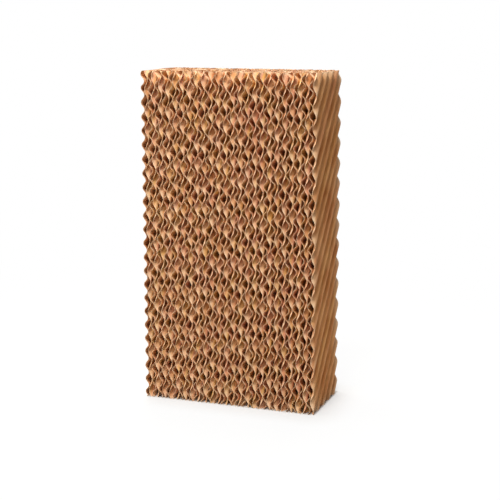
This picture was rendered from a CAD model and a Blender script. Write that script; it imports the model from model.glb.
"""Dresses an evaporative cooling pad: fluted kraft-paper sheets on a white studio floor, in metres."""

import logging
import math
from dataclasses import dataclass, field
from enum import Enum
from typing import Any, Iterable, Mapping, Sequence, Union

import bpy
import numpy as np
from mathutils import Matrix, Vector


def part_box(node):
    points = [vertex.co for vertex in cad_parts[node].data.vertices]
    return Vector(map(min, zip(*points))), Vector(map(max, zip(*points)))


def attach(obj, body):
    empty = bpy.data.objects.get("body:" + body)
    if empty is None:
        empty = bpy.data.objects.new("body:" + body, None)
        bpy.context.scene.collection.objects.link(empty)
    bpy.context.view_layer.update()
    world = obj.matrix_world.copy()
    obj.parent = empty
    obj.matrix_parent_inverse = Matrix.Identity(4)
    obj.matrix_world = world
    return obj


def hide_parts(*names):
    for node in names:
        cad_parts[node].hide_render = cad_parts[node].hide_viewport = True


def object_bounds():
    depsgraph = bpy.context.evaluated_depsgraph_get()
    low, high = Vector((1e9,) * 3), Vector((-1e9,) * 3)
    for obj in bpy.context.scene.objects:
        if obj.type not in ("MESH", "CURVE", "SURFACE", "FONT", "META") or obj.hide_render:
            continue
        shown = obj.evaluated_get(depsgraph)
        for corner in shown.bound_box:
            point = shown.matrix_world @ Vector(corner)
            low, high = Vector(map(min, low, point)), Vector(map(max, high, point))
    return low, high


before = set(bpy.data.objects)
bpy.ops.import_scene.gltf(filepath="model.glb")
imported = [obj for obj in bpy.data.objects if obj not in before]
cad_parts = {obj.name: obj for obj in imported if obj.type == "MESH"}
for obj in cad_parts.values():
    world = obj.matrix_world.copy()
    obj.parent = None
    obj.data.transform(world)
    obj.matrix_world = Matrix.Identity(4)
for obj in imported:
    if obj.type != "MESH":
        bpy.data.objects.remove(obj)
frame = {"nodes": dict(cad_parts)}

CAD_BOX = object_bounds()
MM_PER_M = 1000
LOG = logging.getLogger("cooling_pad")

Pair = tuple[float, float]
Triple = tuple[float, float, float]
Socket = bpy.types.NodeSocket
Number = Union[float, "Shade"]
Paint = Union[Triple, Socket]


def srgb(red: int, green: int, blue: int) -> Triple:
    """Turns a colour as a screen shows it into the light that it reflects, by the sRGB formula.

    Args:
        red: Red from 0 to 255.
        green: Green from 0 to 255.
        blue: Blue from 0 to 255.

    Returns:
        The same colour in linear light, from 0 to 1.
    """
    shown = np.array([red, green, blue]) / 255
    linear = np.where(shown <= 0.04045, shown / 12.92, ((shown + 0.055) / 1.055) ** 2.4)
    return tuple(float(part) for part in linear)


class Shade:
    """A socket whose value takes part in Python expressions. Each operator adds one Math node."""

    def __init__(self, book: "NodeBook", socket: Socket) -> None:
        """Keeps the node tree and the socket that gives the value."""
        self.book = book
        self.socket = socket

    def math(self, operation: str, first: Number, second: Number) -> "Shade":
        """Adds one Math node.

        Args:
            operation: Blender's name of the operation.
            first: Its first number.
            second: Its second number.

        Returns:
            The node's result.
        """
        node = self.book.node("ShaderNodeMath", {"operation": operation}, {0: first, 1: second})
        return Shade(self.book, node.outputs[0])

    def __add__(self, other: Number) -> "Shade":
        """Sum."""
        return self.math("ADD", self, other)

    def __sub__(self, other: Number) -> "Shade":
        """Difference."""
        return self.math("SUBTRACT", self, other)

    def __rsub__(self, other: Number) -> "Shade":
        """Difference from a number."""
        return self.math("SUBTRACT", other, self)

    def __mul__(self, other: Number) -> "Shade":
        """Product."""
        return self.math("MULTIPLY", self, other)

    def __truediv__(self, other: Number) -> "Shade":
        """Quotient."""
        return self.math("DIVIDE", self, other)

    def __rtruediv__(self, other: Number) -> "Shade":
        """A number divided by the value."""
        return self.math("DIVIDE", other, self)

    def __rpow__(self, base: Number) -> "Shade":
        """A number raised to the value."""
        return self.math("POWER", base, self)

    __radd__ = __add__
    __rmul__ = __mul__

    def larger(self, other: Number) -> "Shade":
        """The larger of the two values."""
        return self.math("MAXIMUM", self, other)

    def step(self, low: float, high: float) -> "Shade":
        """A smooth step.

        Args:
            low: Value at and below which the step is 0.
            high: Value at and above which the step is 1.

        Returns:
            The step, from 0 to 1.
        """
        sockets = {"Value": self, "From Min": low, "From Max": high}
        node = self.book.node("ShaderNodeMapRange", {"interpolation_type": "SMOOTHSTEP"}, sockets)
        return Shade(self.book, node.outputs["Result"])


class NodeBook:
    """The node tree of one material or world, emptied, with the calls that fill it."""

    def __init__(self, owner: Union[bpy.types.Material, bpy.types.World]) -> None:
        """Empties the owner's node tree and keeps it.

        Args:
            owner: The material or world.
        """
        owner.use_nodes = True
        self.tree = owner.node_tree
        self.tree.nodes.clear()

    def node(self, kind: str, settings: Mapping[str, Any], sockets: Mapping[Any, Any]) -> bpy.types.Node:
        """Adds one node of any kind.

        Args:
            kind: Blender's name of the node's type.
            settings: Values of the node's own properties, which are set first.
            sockets: A number, a colour or a link for each input, by name or place.

        Returns:
            The new node.
        """
        node = self.tree.nodes.new(kind)
        for name, value in settings.items():
            setattr(node, name, value)
        for name, value in sockets.items():
            socket = node.inputs[name]
            if isinstance(value, Shade):
                self.tree.links.new(value.socket, socket)
            elif isinstance(value, Socket):
                self.tree.links.new(value, socket)
            else:
                socket.default_value = value
        return node

    def attribute(self, name: str) -> Shade:
        """The number that a mesh keeps at each point under a name."""
        return Shade(self, self.node("ShaderNodeAttribute", {"attribute_name": name}, {}).outputs["Fac"])

    def vector(self, operation: str, first: Socket, second: Triple = (0.0, 0.0, 0.0)) -> Socket:
        """Adds one Vector Math node.

        Args:
            operation: Blender's name of the operation.
            first: Its first vector.
            second: Its second vector, where it takes one.

        Returns:
            The resulting vector.
        """
        node = self.node("ShaderNodeVectorMath", {"operation": operation}, {0: first, 1: second})
        return node.outputs["Vector"]

    def length(self, vector: Socket) -> Shade:
        """The length of a vector."""
        node = self.node("ShaderNodeVectorMath", {"operation": "LENGTH"}, {0: vector})
        return Shade(self, node.outputs["Value"])

    def place(self, name: str, scales: Triple) -> Socket:
        """The vector that a mesh keeps at each point, stretched.

        Args:
            name: Name of the vector attribute.
            scales: Factor for each of its three parts.

        Returns:
            The stretched vector.
        """
        source = self.node("ShaderNodeAttribute", {"attribute_name": name}, {})
        return self.vector("MULTIPLY", source.outputs["Vector"], scales)

    def noise(self, vector: Socket, detail: float) -> Shade:
        """Soft random patches, about one to each unit of the vector.

        Args:
            vector: Where the pattern is read.
            detail: Number of finer layers that are added.

        Returns:
            The pattern, which lies about 0.5.
        """
        sockets = {"Vector": vector, "Scale": 1.0, "Detail": detail}
        return Shade(self, self.node("ShaderNodeTexNoise", {}, sockets).outputs["Fac"])

    def grey(self, value: Shade) -> Socket:
        """The grey whose red, green and blue are the value."""
        return self.node("ShaderNodeCombineColor", {}, {0: value, 1: value, 2: value}).outputs[0]

    def mix(self, share: Number, first: Paint, second: Paint, blend: str = "MIX") -> Socket:
        """Mixes two colours. The Mix node's inputs 6 and 7 and its output 2 are its colours.

        Args:
            share: Share of the second colour.
            first: The first colour.
            second: The second colour.
            blend: Blender's name of the way of mixing.

        Returns:
            The mixed colour.
        """
        settings = {"data_type": "RGBA", "blend_type": blend}
        pair = [(*c, 1.0) if isinstance(c, tuple) else c for c in (first, second)]
        return self.node("ShaderNodeMix", settings, {0: share, 6: pair[0], 7: pair[1]}).outputs[2]

    def seen(self) -> Shade:
        """Tells what the camera sees, straight or in gloss or glass, from light on its way.

        Returns:
            1 for what is seen, and 0 for the rest.
        """
        path = self.node("ShaderNodeLightPath", {}, {}).outputs
        kinds = ("Camera", "Glossy", "Transmission")
        straight, gloss, glass = (Shade(self, path[f"Is {kind} Ray"]) for kind in kinds)
        return straight.larger(gloss).larger(glass)


@dataclass(frozen=True)
class KraftPaper:
    """Finish of the sheets: kraft paper stiffened with resin, paler and rougher where it was sawn.

    Widths, lengths and reaches are in millimetres of paper, as the sheets' meshes keep them.
    """

    # Resin brown and tan, the leans from flute to flute, and the paper near a saw cut and on its rim
    brown: Triple = srgb(174, 106, 50)
    tan: Triple = srgb(207, 148, 91)
    rosy: Triple = srgb(204, 132, 104)
    olive: Triple = srgb(206, 160, 74)
    straw: Triple = srgb(222, 191, 156)
    raw: Triple = srgb(240, 212, 176)

    # Clouds of colour, drawn out along the flutes, and wide blotches, with their shares in the shade
    cloud_width: float = 13.0
    cloud_stretch: float = 3.5
    cloud_detail: float = 3.0
    cloud_share: float = 0.6
    blotch_width: float = 75.0
    blotch_detail: float = 2.0
    blotch_share: float = 0.4
    sheet_share: float = 0.06
    tan_step: Pair = (0.3, 0.66)

    # How far a flute's colour leans at most, and the flute tones between which the lean grows to that
    lean: float = 0.6
    lean_step: Pair = (0.1, 1.0)

    # Fibres, how strongly they streak the colour, and the brightness of the darkest streak
    fibre_length: float = 3.0
    fibre_width: float = 0.35
    fibre_detail: float = 3.0
    streak: float = 0.55
    streak_floor: float = 0.5

    # How far a saw cut makes the paper pale, more where a cloud is, and how strongly its rim is raw
    sawn_reach: float = 9.0
    sawn_step: Pair = (0.36, 0.64)
    sawn_least: float = 0.25
    sawn_cloud: float = 0.7
    rim_reach: float = 0.5
    rim_share: float = 0.12

    # Gloss and relief, the relief's height in metres
    roughness: float = 0.62
    fibre_roughness: float = 0.12
    sawn_roughness: float = 0.12
    gloss: float = 0.3
    bump_strength: float = 0.6
    bump_height: float = 0.00012

    def fibres(self, book: NodeBook) -> Shade:
        """Paper fibres: the sum of two noises, one drawn out along the flutes and one across them.

        Args:
            book: The material's nodes.

        Returns:
            The fibres, which lie about 1.
        """
        fine, coarse = 1 / self.fibre_width, 1 / self.fibre_length
        lengthwise = book.noise(book.place("paper", (coarse, fine, 1.0)), self.fibre_detail)
        crosswise = book.noise(book.place("paper", (fine, coarse, 1.0)), self.fibre_detail)
        return lengthwise + crosswise

    def clouds(self, book: NodeBook) -> tuple[Shade, Shade]:
        """Clouds of colour, and the shade from brown to tan.

        The shade is a smooth step of the weighted sum of clouds, blotches and the sheet's own tone.

        Args:
            book: The material's nodes.

        Returns:
            The clouds, and the shade from 0 to 1.
        """
        across, along = 1 / self.cloud_width, 1 / (self.cloud_stretch * self.cloud_width)
        cloud = book.noise(book.place("paper", (along, across, across)), self.cloud_detail)
        wide = (1 / self.blotch_width,) * 3
        blotch = book.noise(book.place("paper", wide), self.blotch_detail)
        patches = cloud * self.cloud_share + blotch * self.blotch_share
        shade = patches + book.attribute("sheet_tone") * self.sheet_share
        return cloud, shade.step(*self.tan_step)

    def material(self) -> bpy.types.Material:
        """Builds the finish from what a sheet's mesh keeps at each point.

        The colour runs from resin brown to tan in clouds, leans to rosy or olive from flute to flute,
        is streaked by fibres, and turns to pale straw near a saw cut, by exp(-distance / reach).

        Returns:
            The material.
        """
        material = bpy.data.materials.new("kraft_paper")
        book = NodeBook(material)
        cloud, shade = self.clouds(book)
        fibre = self.fibres(book)
        flute = book.attribute("flute_tone")
        cut = book.attribute("cut")
        sawn = math.e ** (cut / -self.sawn_reach)
        rim = math.e ** (cut / -self.rim_reach)
        colour = book.mix(shade, self.brown, self.tan)
        colour = book.mix(flute.step(*self.lean_step) * self.lean, colour, self.rosy)
        colour = book.mix((0 - flute).step(*self.lean_step) * self.lean, colour, self.olive)
        streaks = book.grey(fibre * (1 - self.streak_floor) + self.streak_floor)
        colour = book.mix(self.streak, colour, streaks, "MULTIPLY")
        pale = sawn * (cloud.step(*self.sawn_step) * self.sawn_cloud + self.sawn_least)
        colour = book.mix(pale, colour, self.straw)
        colour = book.mix(rim * self.rim_share, colour, self.raw)
        relief = {"Strength": self.bump_strength, "Distance": self.bump_height, "Height": fibre + cloud}
        sockets = {
            "Base Color": colour,
            "Roughness": self.roughness + fibre * self.fibre_roughness + sawn * self.sawn_roughness,
            "Specular IOR Level": self.gloss,
            "Normal": book.node("ShaderNodeBump", {}, relief).outputs[0],
        }
        paper = book.node("ShaderNodeBsdfPrincipled", {}, sockets)
        book.node("ShaderNodeOutputMaterial", {}, {"Surface": paper.outputs[0]})
        return material


@dataclass(frozen=True)
class WhiteGround:
    """Finish of the floor and of what lies beyond it: white, with the pad's own soft shadow."""

    # Colour of the matt floor under the white, and its roughness with a little grain
    floor: Triple = (0.62, 0.61, 0.59)
    roughness: float = 0.8
    grain: float = 0.1
    grain_detail: float = 4.0

    # Pure white, its shares beside the foot and past the shadow, and the distances where each is reached
    white: Triple = (1.0, 1.0, 1.0)
    foot_white: float = 0.5
    open_white: float = 0.88
    foot_edge: float = 0.004
    shadow_reach: float = 0.07
    white_reach: float = 1.2

    # Strength of the light from all round
    sky_light: float = 0.17

    def floor_material(self, half_foot: Sequence[float]) -> bpy.types.Material:
        """Builds the floor's finish: matt white, turning to pure white away from the pad.

        The distance from the foot is the length of max(|place| - half foot, 0).

        Args:
            half_foot: Half of the pad's width and half of its depth.

        Returns:
            The material.
        """
        material = bpy.data.materials.new("white_floor")
        book = NodeBook(material)
        place = book.node("ShaderNodeTexCoord", {}, {}).outputs["Object"]
        aside = book.vector("ABSOLUTE", place)
        beyond = book.vector("SUBTRACT", aside, (*half_foot, 0.0))
        away = book.length(book.vector("MAXIMUM", beyond))
        near = away.step(0.0, self.shadow_reach) * (self.open_white - self.foot_white)
        far = away.step(self.shadow_reach, self.white_reach) * (1 - self.open_white)
        glow = book.seen() * away.step(0.0, self.foot_edge) * (self.foot_white + near + far)
        rough = self.roughness + book.noise(place, self.grain_detail) * self.grain
        matt = {"Base Color": (*self.floor, 1.0), "Roughness": rough}
        ground = book.node("ShaderNodeBsdfPrincipled", {}, matt)
        light = book.node("ShaderNodeEmission", {}, {"Color": (*self.white, 1.0), "Strength": 1.0})
        both = {0: glow, 1: ground.outputs[0], 2: light.outputs[0]}
        surface = book.node("ShaderNodeMixShader", {}, both)
        book.node("ShaderNodeOutputMaterial", {}, {"Surface": surface.outputs[0]})
        return material

    def world(self) -> bpy.types.World:
        """Builds the surroundings: an even soft light that the camera sees as white.

        Returns:
            The world.
        """
        world = bpy.data.worlds.new("white_surroundings")
        book = NodeBook(world)
        white = (*self.white, 1.0)
        light = book.node("ShaderNodeBackground", {}, {"Color": white, "Strength": self.sky_light})
        shown = book.node("ShaderNodeBackground", {}, {"Color": white, "Strength": 1.0})
        both = {0: book.seen(), 1: light.outputs[0], 2: shown.outputs[0]}
        surface = book.node("ShaderNodeMixShader", {}, both)
        book.node("ShaderNodeOutputWorld", {}, {"Surface": surface.outputs[0]})
        return world


class FluteRun(Enum):
    """The two ways that flutes run, with their climb towards the back in degrees."""

    STEEP = 48.0
    SHALLOW = -12.0

    @property
    def angle(self) -> float:
        """Climb towards the back, in radians."""
        return math.radians(self.value)


class StackPlace(Enum):
    """Where a sheet lies in the stack, with the direction along X in which it faces outwards."""

    LEFT_SIDE = -1
    INSIDE = 0
    RIGHT_SIDE = 1


@dataclass(frozen=True)
class FluteWave:
    """Section of the paper square to its flutes: round crests joined by flat flanks."""

    height: float
    pitch: float = 0.0248
    flank: float = math.radians(40.0)
    paper: float = 0.0003

    @property
    def crest(self) -> float:
        """Height of the paper's middle at a crest, above the middle of the wave."""
        return (self.height - self.paper) / 2

    def level(self, across: np.ndarray) -> np.ndarray:
        """Height of the paper's middle, from -crest to +crest.

        With q the distance to the nearest crest, folded about the quarter wave, the height is that of
        the flank, (quarter - q) tan(flank), or that of a circle through the crest which touches the
        flank, crest - radius + sqrt(radius^2 - q^2), where the circle is lower.

        Args:
            across: Distances square to the flutes, 0 at an upper crest.

        Returns:
            The heights.
        """
        quarter = self.pitch / 4
        peak = quarter * math.tan(self.flank)
        radius = (peak - self.crest) * math.cos(self.flank) / (1 - math.cos(self.flank))
        nearest = np.abs(across - self.pitch * np.round(across / self.pitch))
        sign = np.where(nearest <= quarter, 1.0, -1.0)
        folded = np.where(nearest <= quarter, nearest, 2 * quarter - nearest)
        circle = self.crest - radius + np.sqrt(np.maximum(radius**2 - folded**2, 0.0))
        straight = (quarter - folded) * math.tan(self.flank)
        return sign * np.where(folded < radius * math.sin(self.flank), circle, straight)

    def half_paper(self, across: np.ndarray) -> np.ndarray:
        """Half of the paper, measured square to the sheet's plane.

        It is half the paper's thickness times sqrt(1 + slope^2), with the slope of the wave there.

        Args:
            across: Distances square to the flutes, 0 at an upper crest.

        Returns:
            The half thicknesses.
        """
        nudge = self.pitch / 1000
        slope = (self.level(across + nudge) - self.level(across - nudge)) / (2 * nudge)
        return self.paper / 2 * np.sqrt(1 + slope**2)


@dataclass(frozen=True)
class Ripple:
    """Seeded unevenness along a line: a sum of sines of random length and phase, about -1 to 1."""

    lengths: np.ndarray
    phases: np.ndarray

    @classmethod
    def draw(cls, dice: np.random.Generator, lengths: Pair, count: int) -> "Ripple":
        """Draws a ripple.

        Args:
            dice: The seeded source of chance.
            lengths: Least and greatest length of a sine.
            count: Number of sines.

        Returns:
            The ripple.
        """
        return cls(dice.uniform(*lengths, count), dice.uniform(0.0, math.tau, count))

    def at(self, place: np.ndarray) -> np.ndarray:
        """Height of the ripple at each place, the sum of its sines over the root of twice their number."""
        waves = np.sin(math.tau * place[..., None] / self.lengths + self.phases)
        return waves.sum(-1) / math.sqrt(2 * len(self.lengths))


@dataclass
class PaperSheet:
    """One fluted sheet, on a grid whose rows run along the flutes from cut to cut."""

    name: str
    place: StackPlace

    # Rows to a wave, and columns between the two cuts on an inner and on an exposed sheet
    rows_per_wave: int = 16
    inner_columns: int = 4
    exposed_columns: int = 36

    # Distances of the columns beside a cut, which take at most one part in so many of a short row
    near_cut: tuple[float, ...] = (0.0, 0.0006, 0.0016, 0.004)
    near_part: int = 3

    # Trim of the sheet's pointed ends, and one part in so many of a row's step left free at a corner
    corner_trim: float = 0.0005
    corner_part: int = 3

    # Angle from which an edge is shaded sharp
    sharp_angle: float = math.radians(55.0)

    # Shift of the flutes in shares of a wave, and turn of its variation from sheet to sheet
    first_shift: float = -0.18
    wave_shift: float = 0.664
    shift_spread: float = 0.14
    shift_turn: float = math.radians(69.0)

    # How far crests drift, wander and bend, with the lengths of those ripples, and the slant of the bends
    drift: float = 0.0022
    drift_lengths: Pair = (0.3, 0.9)
    wander: float = 0.0008
    wander_lengths: Pair = (0.05, 0.25)
    bend: float = 0.0004
    bend_lengths: Pair = (0.08, 0.3)
    bend_slant: float = 0.3
    crest_sines: int = 5

    # How far cut edges curl, the reach of the curl, and the lengths, slant and number of its ripple's sines
    curl: float = 0.0007
    curl_reach: float = 0.005
    curl_lengths: Pair = (0.008, 0.04)
    curl_slant: float = 0.4
    curl_sines: int = 7

    # How far cut edges fray, as a share of the room there at most, and how far fuzz thickens them
    fray: float = 0.0003
    fray_most: float = 0.4
    fuzz: float = 0.00007
    fuzz_reach: float = 0.0007

    # Depth of the dents on an exposed sheet, their number, and the ranges of their reach and strength
    dent: float = 0.0011
    dent_count: int = 16
    dent_reach: Pair = (0.005, 0.014)
    dent_strength: Pair = (0.2, 1.0)

    # Number of flute tones, and their strength on an exposed sheet
    tone_count: int = 200
    exposed_lean: float = 0.4

    # Length of paper in a wave's width, and steps of its pattern from sheet to sheet and face to face
    paper_per_width: float = 1.17
    sheet_step: float = 97.0
    face_step: float = 41.0

    # Seed of chance, to which the sheet's number is added
    first_seed: int = 1000

    # What the sheet's node tells, and the sheet's own chance
    low: Vector = field(init=False)
    high: Vector = field(init=False)
    wave: FluteWave = field(init=False)
    run: FluteRun = field(init=False)
    number: int = field(init=False)
    dice: np.random.Generator = field(init=False)

    def __post_init__(self) -> None:
        """Reads the sheet's box, wave, run and number from its node, and seeds its chance."""
        self.low, self.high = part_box(self.name)
        self.wave = FluteWave(self.high.x - self.low.x)
        word, _, number = self.name.split("_")
        self.run = FluteRun[word.upper()]
        self.number = int(number)
        self.dice = np.random.default_rng(self.first_seed + self.number)

    @property
    def exposed(self) -> bool:
        """Whether the sheet's outer face shows."""
        return self.place is not StackPlace.INSIDE

    @property
    def half_depth(self) -> float:
        """Half of the pad's depth."""
        return (self.high.y - self.low.y) / 2

    @property
    def half_height(self) -> float:
        """Half of the pad's height."""
        return (self.high.z - self.low.z) / 2

    @property
    def shift(self) -> float:
        """Place of an upper crest, square to the flutes, from the sheet's middle."""
        spread = self.shift_spread * math.cos(self.shift_turn * self.number)
        return (self.first_shift + self.wave_shift * self.number + spread) % 1 * self.wave.pitch

    def rows(self) -> np.ndarray:
        """Places of the rows, square to the flutes.

        They stand at every share of a wave, counted from a crest, with one more at each corner of
        the sheet, so that its outline is exact.

        Returns:
            The places, in order, 0 at the sheet's middle.
        """
        sine, cosine = abs(math.sin(self.run.angle)), math.cos(self.run.angle)
        end = self.half_height * cosine + self.half_depth * sine - self.corner_trim
        turn = self.half_height * cosine - self.half_depth * sine
        step = self.wave.pitch / self.rows_per_wave
        count = math.ceil(2 * end / step)
        even = self.shift % step + step * np.arange(-count, count + 1)
        fixed = np.array([-end, -turn, turn, end])
        apart = np.abs(even[:, None] - fixed).min(1)
        clear = (np.abs(even) < end) & (apart > step / self.corner_part)
        return np.sort(np.concatenate([even[clear], fixed]))

    def spans(self, rows: np.ndarray) -> tuple[np.ndarray, np.ndarray]:
        """Where each row starts and ends along the flutes, between the four saw cuts.

        A row at s holds the points (s sin a + l cos a, l sin a - s cos a), with a the flutes' climb, and
        l runs while the first stays within the half depth and the second within the half height.

        Args:
            rows: Places of the rows.

        Returns:
            The starts and the ends.
        """
        sine, cosine = math.sin(self.run.angle), math.cos(self.run.angle)
        by_depth = [(side * self.half_depth - rows * sine) / cosine for side in (-1, 1)]
        by_height = [(side * self.half_height + rows * cosine) / sine for side in (-1, 1)]
        start = np.maximum(by_depth[0], np.minimum(*by_height))
        stop = np.minimum(by_depth[1], np.maximum(*by_height))
        return start, stop

    def columns(self, start: np.ndarray, stop: np.ndarray) -> np.ndarray:
        """Points of each row along its flute, close together near the saw cuts.

        Args:
            start: Where each row starts.
            stop: Where each row ends.

        Returns:
            The points, one line of the array for each row.
        """
        length = (stop - start)[:, None]
        room = self.near_part * self.near_cut[-1]
        near = np.array(self.near_cut)[None, :] * np.minimum(1.0, length / room)
        count = self.exposed_columns if self.exposed else self.inner_columns
        shares = np.linspace(0.0, 1.0, count + 2)[None, 1:-1]
        middle = near[:, -1:] + shares * (length - 2 * near[:, -1:])
        return start[:, None] + np.concatenate([near, middle, length - near[:, ::-1]], axis=1)

    def frayed(self, along: np.ndarray) -> np.ndarray:
        """Shortens each row at both cuts by a random length, at most a share of the room there.

        Args:
            along: Points of each row along its flute.

        Returns:
            The points, with the first and the last of each row moved in.
        """
        fray = self.fray * self.dice.random((len(along), 2))
        along[:, 0] += np.minimum(fray[:, 0], self.fray_most * (along[:, 1] - along[:, 0]))
        along[:, -1] -= np.minimum(fray[:, 1], self.fray_most * (along[:, -1] - along[:, -2]))
        return along

    def unevenness(self, rows: np.ndarray, along: np.ndarray) -> tuple[np.ndarray, np.ndarray]:
        """How far the crests wander and the free edges curl, from seeded ripples.

        Args:
            rows: Places of the points, square to the flutes.
            along: Places of the points, along the flutes.

        Returns:
            The wander square to the flutes, and the curl from -1 to 1.
        """
        long = Ripple.draw(self.dice, self.drift_lengths, self.crest_sines)
        slow = Ripple.draw(self.dice, self.wander_lengths, self.crest_sines)
        bend = Ripple.draw(self.dice, self.bend_lengths, self.crest_sines)
        edge = Ripple.draw(self.dice, self.curl_lengths, self.curl_sines)
        bends = self.bend * bend.at(along + self.bend_slant * rows)
        wander = self.drift * long.at(rows) + self.wander * slow.at(rows) + bends
        return wander, edge.at(rows + self.curl_slant * along)

    def dents(self, depth: np.ndarray, height: np.ndarray) -> np.ndarray:
        """Shallow dents from handling, each a round hollow that fades as a bell curve.

        Args:
            depth: Places of the points from front to back.
            height: Places of the points from bottom to top.

        Returns:
            How far each point is pressed in.
        """
        at_depth = self.dice.uniform(-self.half_depth, self.half_depth, self.dent_count)
        at_height = self.dice.uniform(-self.half_height, self.half_height, self.dent_count)
        reach = self.dice.uniform(*self.dent_reach, self.dent_count)
        press = self.dice.uniform(*self.dent_strength, self.dent_count) * self.dent
        gap = (depth[..., None] - at_depth) ** 2 + (height[..., None] - at_height) ** 2
        return (press * np.exp(-gap / reach**2)).sum(-1)

    def flute_tones(self, phase: np.ndarray) -> np.ndarray:
        """A random tone for each crest with half of the flanks beside it, weaker on an exposed sheet.

        Args:
            phase: Places of the points square to the flutes, 0 at an upper crest.

        Returns:
            The tones, from -1 to 1.
        """
        strength = self.exposed_lean if self.exposed else 1.0
        tones = strength * self.dice.uniform(-1.0, 1.0, self.tone_count)
        return tones[np.floor(phase / self.wave.pitch * 2 + 0.5).astype(int) % self.tone_count]

    def points(self) -> dict[str, np.ndarray]:
        """Works out the sheet's two faces and what its finish needs at each point.

        The middle of the paper is the wave, read at the place square to the flutes plus the wander,
        plus the curl, which is strongest on a flank at a cut and fades with the distance to the cut.
        The two faces lie half the paper to either side, with a little fuzz where it was sawn. An
        outer sheet is dented from outside, fully at its outer crests and not at its inner ones.

        Returns:
            Arrays over rows and columns, by name.
        """
        rows = self.rows()
        along = self.frayed(self.columns(*self.spans(rows)))
        across = np.repeat(rows[:, None], along.shape[1], axis=1)
        sine, cosine = math.sin(self.run.angle), math.cos(self.run.angle)
        depth = across * sine + along * cosine
        height = along * sine - across * cosine
        cut = np.minimum(self.half_depth - np.abs(depth), self.half_height - np.abs(height)).clip(0.0)
        wander, curl = self.unevenness(across, along)
        phase = across - self.shift + wander
        level = self.wave.level(phase)
        free = 1 - (level / self.wave.crest) ** 2
        middle = level + self.curl * curl * free * np.exp(-cut / self.curl_reach)
        if self.exposed:
            outward = self.place.value
            outer = 0.5 + 0.5 * outward * level / self.wave.crest
            middle = middle - outward * self.dents(depth, height) * outer
        return {
            "depth": depth,
            "height": height,
            "middle": middle,
            "half": self.wave.half_paper(phase) + self.fuzz * free * np.exp(-cut / self.fuzz_reach),
            "cut": cut,
            "across": across,
            "along": along,
            "flute": self.flute_tones(phase),
        }

    def faces(self, shape: tuple[int, int]) -> np.ndarray:
        """Joins the points into quads: right face, left face, and the four strips of the cut rim.

        Args:
            shape: Numbers of rows and columns.

        Returns:
            Four point numbers for each quad, turning outwards.
        """
        right = np.arange(shape[0] * shape[1]).reshape(shape)
        left = right + right.size
        corners = [right[:-1, :-1], right[1:, :-1], right[1:, 1:], right[:-1, 1:]]
        sheet = np.stack(corners, -1).reshape(-1, 4)
        front = np.stack([left[:-1, 0], left[1:, 0], right[1:, 0], right[:-1, 0]], -1)
        back = np.stack([right[:-1, -1], right[1:, -1], left[1:, -1], left[:-1, -1]], -1)
        upper = np.stack([left[0, :-1], right[0, :-1], right[0, 1:], left[0, 1:]], -1)
        lower = np.stack([left[-1, :-1], left[-1, 1:], right[-1, 1:], right[-1, :-1]], -1)
        return np.concatenate([sheet, sheet[:, ::-1] + right.size, front, back, upper, lower])

    def build(self) -> bpy.types.Object:
        """Makes the sheet's mesh and keeps at each point what the finish reads.

        Returns:
            The sheet's object, at the origin.
        """
        grid = self.points()
        centre = (self.low + self.high) / 2
        depth, height = centre.y + grid["depth"], centre.z + grid["height"]
        sides = [centre.x + (grid["middle"] + side * grid["half"]) for side in (1, -1)]
        points = np.concatenate([np.stack([x, depth, height], -1).reshape(-1, 3) for x in sides])
        quads = self.faces(depth.shape)
        mesh = bpy.data.meshes.new(self.name)
        mesh.vertices.add(len(points))
        mesh.vertices.foreach_set("co", points.astype(np.float32).ravel())
        mesh.loops.add(quads.size)
        mesh.loops.foreach_set("vertex_index", quads.astype(np.int32).ravel())
        mesh.polygons.add(len(quads))
        mesh.polygons.foreach_set("loop_start", np.arange(0, quads.size, 4, dtype=np.int32))
        mesh.update(calc_edges=True)
        mesh.validate()
        mesh.polygons.foreach_set("use_smooth", np.ones(len(mesh.polygons), dtype=bool))
        mesh.set_sharp_from_angle(angle=self.sharp_angle)
        self.keep(mesh, grid)
        piece = bpy.data.objects.new(f"paper_{self.name}", mesh)
        bpy.context.scene.collection.objects.link(piece)
        return piece

    def keep(self, mesh: bpy.types.Mesh, grid: Mapping[str, np.ndarray]) -> None:
        """Stores the finish's values on the mesh, with lengths in millimetres.

        The place on the paper is (along, across, step): across is stretched to the paper's own length,
        and the step differs for each sheet and face, so that no two show the same pattern.

        Args:
            mesh: The sheet's mesh.
            grid: The sheet's arrays.
        """
        along = MM_PER_M * grid["along"]
        across = MM_PER_M * self.paper_per_width * grid["across"]
        values = {
            "cut": MM_PER_M * grid["cut"],
            "flute_tone": grid["flute"],
            "sheet_tone": np.full_like(along, self.dice.uniform(-1.0, 1.0)),
        }
        for name, value in values.items():
            held = mesh.attributes.new(name, "FLOAT", "POINT")
            held.data.foreach_set("value", np.tile(value.ravel(), 2).astype(np.float32))
        steps = [self.sheet_step * self.number + self.face_step * face for face in (0, 1)]
        paper = [np.stack([along, across, np.full_like(along, step)], -1) for step in steps]
        held = mesh.attributes.new("paper", "FLOAT_VECTOR", "POINT")
        held.data.foreach_set("vector", np.concatenate(paper).astype(np.float32).ravel())


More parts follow.
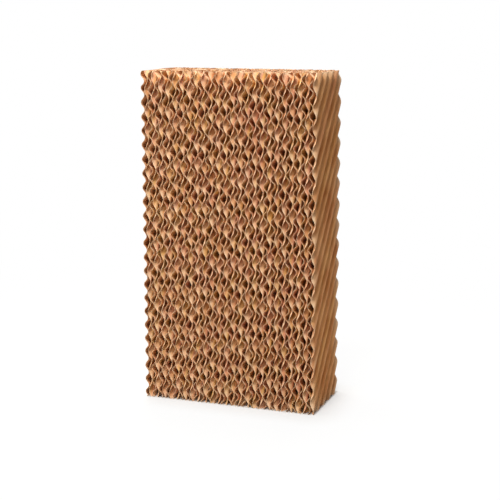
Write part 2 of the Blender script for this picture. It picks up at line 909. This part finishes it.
@dataclass
class CoolingPad:
    """The stack of fluted sheets, each in the place of its node."""

    finish: KraftPaper = field(default_factory=KraftPaper)
    body: str = "root"
    slot: str = "kraft_paper"

    def build(self, nodes: Iterable[str]) -> list[bpy.types.Object]:
        """Makes and dresses every sheet, from the left side to the right.

        Args:
            nodes: Names of the sheets' nodes.

        Returns:
            The sheets' objects.
        """
        ordered = sorted(nodes, key=lambda name: name.split("_")[-1])
        ends = {ordered[0]: StackPlace.LEFT_SIDE, ordered[-1]: StackPlace.RIGHT_SIDE}
        material = self.finish.material()
        return [self.lay(name, ends.get(name, StackPlace.INSIDE), material) for name in ordered]

    def lay(self, name: str, place: StackPlace, material: bpy.types.Material) -> bpy.types.Object:
        """Makes one sheet, dresses it and puts it in its node's place.

        Args:
            name: Name of the sheet's node.
            place: Where it lies in the stack.
            material: The sheet's finish.

        Returns:
            The sheet's object.
        """
        piece = PaperSheet(name, place).build()
        piece.data.materials.append(material)
        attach(piece, self.body)
        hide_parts(name)
        return piece


@dataclass(frozen=True)
class SoftBox:
    """A square studio lamp that looks at the pad, with its side in metres and its power in watts."""

    name: str
    place: Triple
    size: float
    power: float

    def hang(self, target: Vector) -> None:
        """Hangs the lamp and turns it to the target.

        Args:
            target: What the lamp looks at.
        """
        lamp = bpy.data.lights.new(self.name, "AREA")
        lamp.size = self.size
        lamp.energy = self.power
        holder = bpy.data.objects.new(self.name, lamp)
        holder.location = self.place
        holder.rotation_euler = (target - Vector(self.place)).to_track_quat("-Z", "Y").to_euler()
        bpy.context.scene.collection.objects.link(holder)


@dataclass
class Studio:
    """Camera, lamps and ground round the pad."""

    # Finish of the ground, side of the square floor, and the lamps
    ground: WhiteGround = field(default_factory=WhiteGround)
    floor_side: float = 60.0
    lamps: tuple[SoftBox, ...] = (
        SoftBox("key_front", (0.18, -1.3, 2.75), 0.7, 66.0),
        SoftBox("fill_front", (-0.5, -3.0, 0.9), 2.0, 70.0),
        SoftBox("top", (-0.25, 0.1, 1.7), 0.8, 24.0),
        SoftBox("fill_back", (-0.7, 2.7, 1.6), 2.0, 64.0),
    )

    # Direction of the camera from the pad's middle, its distance, and how far it stands aside and above
    azimuth: float = math.radians(20.14)
    elevation: float = math.radians(11.02)
    distance: float = 2.2234
    aside: float = 0.0149
    above: float = -0.0256

    # Focal length and side of the square picture in pixels, and width of the sensor in millimetres
    focal_pixels: float = 1217.0
    photo_side: float = 500.0
    sensor_width: float = 36.0

    def build(self, low: Vector, high: Vector) -> None:
        """Sets up the studio.

        Args:
            low: Lowest corner of the pad.
            high: Highest corner of the pad.
        """
        middle = (low + high) / 2
        scene = bpy.context.scene
        scene.view_settings.view_transform = "Standard"
        scene.world = self.ground.world()
        scene.camera = self.camera(middle)
        for lamp in self.lamps:
            lamp.hang(middle)
        self.floor(low, high)

    def camera(self, middle: Vector) -> bpy.types.Object:
        """Sets the camera at the photograph's viewing angle.

        Its back, right and up directions follow from azimuth and elevation, and it stands at the pad's
        middle plus distances along the three.

        Args:
            middle: Middle of the pad.

        Returns:
            The camera.
        """
        sine, cosine = math.sin(self.azimuth), math.cos(self.azimuth)
        level = math.cos(self.elevation)
        back = Vector((sine * level, -cosine * level, math.sin(self.elevation)))
        right = Vector((cosine, sine, 0.0))
        up = back.cross(right)
        lens = bpy.data.cameras.new("photo_camera")
        lens.sensor_width = self.sensor_width
        lens.lens = self.focal_pixels / self.photo_side * self.sensor_width
        camera = bpy.data.objects.new("photo_camera", lens)
        camera.rotation_euler = Matrix((right, up, back)).transposed().to_euler()
        camera.location = middle + self.aside * right + self.above * up + self.distance * back
        bpy.context.scene.collection.objects.link(camera)
        return camera

    def floor(self, low: Vector, high: Vector) -> None:
        """Lays the floor as one flat square, on a grid of two by two points.

        Args:
            low: Lowest corner of the pad.
            high: Highest corner of the pad.
        """
        half = self.floor_side / 2
        x, y = np.meshgrid([-half, half], [-half, half])
        corners = np.stack([x, y, np.full_like(x, low.z)], -1).reshape(-1, 3)
        mesh = bpy.data.meshes.new("floor")
        mesh.from_pydata(corners.tolist(), [], [(0, 1, 3, 2)])
        mesh.materials.append(self.ground.floor_material(((high - low) / 2)[:2]))
        floor = bpy.data.objects.new("floor", mesh)
        bpy.context.scene.collection.objects.link(floor)


def main() -> None:
    """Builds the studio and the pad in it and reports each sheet."""
    logging.basicConfig(level=logging.INFO, format="%(message)s")
    Studio().build(*CAD_BOX)
    for piece in CoolingPad().build(frame["nodes"]):
        LOG.info("%s: %d quads", piece.name, len(piece.data.polygons))


if __name__ == "__main__":
    main()
